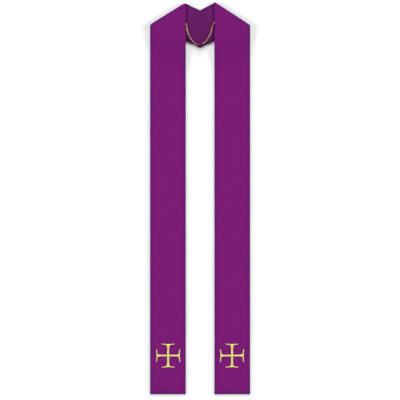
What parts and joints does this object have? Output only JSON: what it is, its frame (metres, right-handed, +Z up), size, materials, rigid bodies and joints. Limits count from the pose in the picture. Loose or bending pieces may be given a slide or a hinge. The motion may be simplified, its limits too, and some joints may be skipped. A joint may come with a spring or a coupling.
{
  "type": "clerical stole",
  "caption": "Long narrow cloth stole laid out flat, turned at the shoulders to a mitred neck, with an embroidered cross near each hem and a fine chain joining the fronts at the neck.",
  "frame": {"origin": "middle of the laid-out stole's outline, on the surface it lies on", "axes": "+Y along the fronts from the hems towards the neck, +X towards the front on the right of the picture, +Z up off the surface, out of the face of the cloth"},
  "size_m": [0.3366, 1.3149, 0.0091],
  "materials": {
    "face_cloth": "matte red-purple plain weave of fine worsted-like yarn, pressed flat",
    "lining_cloth": "darker purple twill lining with a faint sheen",
    "gold_thread": "pale gold embroidery thread in satin stitch, soft sheen along the stitches",
    "antique_gold": "antique gold plating, rubbed brighter on the high spots of the links"
  },
  "bodies": {
    "root": {"front_left": "face_cloth", "front_right": "face_cloth", "neck_left": "face_cloth", "neck_right": "face_cloth", "lining_left": "lining_cloth", "lining_right": "lining_cloth", "cross_left": "gold_thread", "cross_right": "gold_thread", "chain_left": "antique_gold", "chain_right": "antique_gold", "sewn_ring_left": "antique_gold", "sewn_ring_right": "antique_gold", "jump_ring_left": "antique_gold", "jump_ring_right": "antique_gold", "clasp_ring": "antique_gold"}
  },
  "joints": []
}
